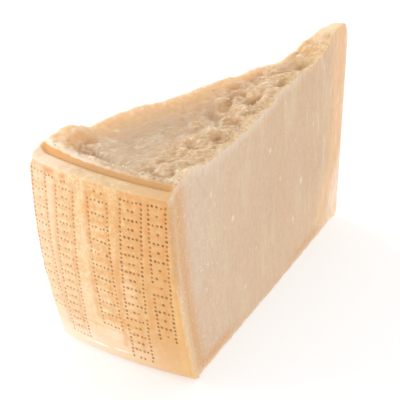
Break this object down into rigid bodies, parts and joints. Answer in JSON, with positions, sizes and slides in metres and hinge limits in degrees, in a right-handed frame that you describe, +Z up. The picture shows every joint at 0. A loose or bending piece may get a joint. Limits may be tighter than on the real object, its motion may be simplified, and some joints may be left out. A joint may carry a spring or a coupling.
{
  "type": "parmesan wedge",
  "caption": "Wedge of hard aged cheese with a barrel-shaped rind, two smooth cut faces and a crumbly broken top that rises to a thin tip.",
  "frame": {"origin": "on the surface that the wedge stands on, under the middle of its bounding box", "axes": "+Y from the rind to the tip, which is the longest extent; +Z up, along the wheel's axis; +X to the right as seen facing the rind"},
  "size_m": [0.0796, 0.21, 0.1118],
  "materials": {
    "paste": "aged cheese paste, pale beige and slightly translucent, smooth where cut and grainy where broken, with a waxy golden rind",
    "rind": "thin waxy golden-orange rind, mottled, pierced by rows of small brown dots"
  },
  "bodies": {
    "root": {"cheese_wedge": "paste"}
  },
  "joints": []
}
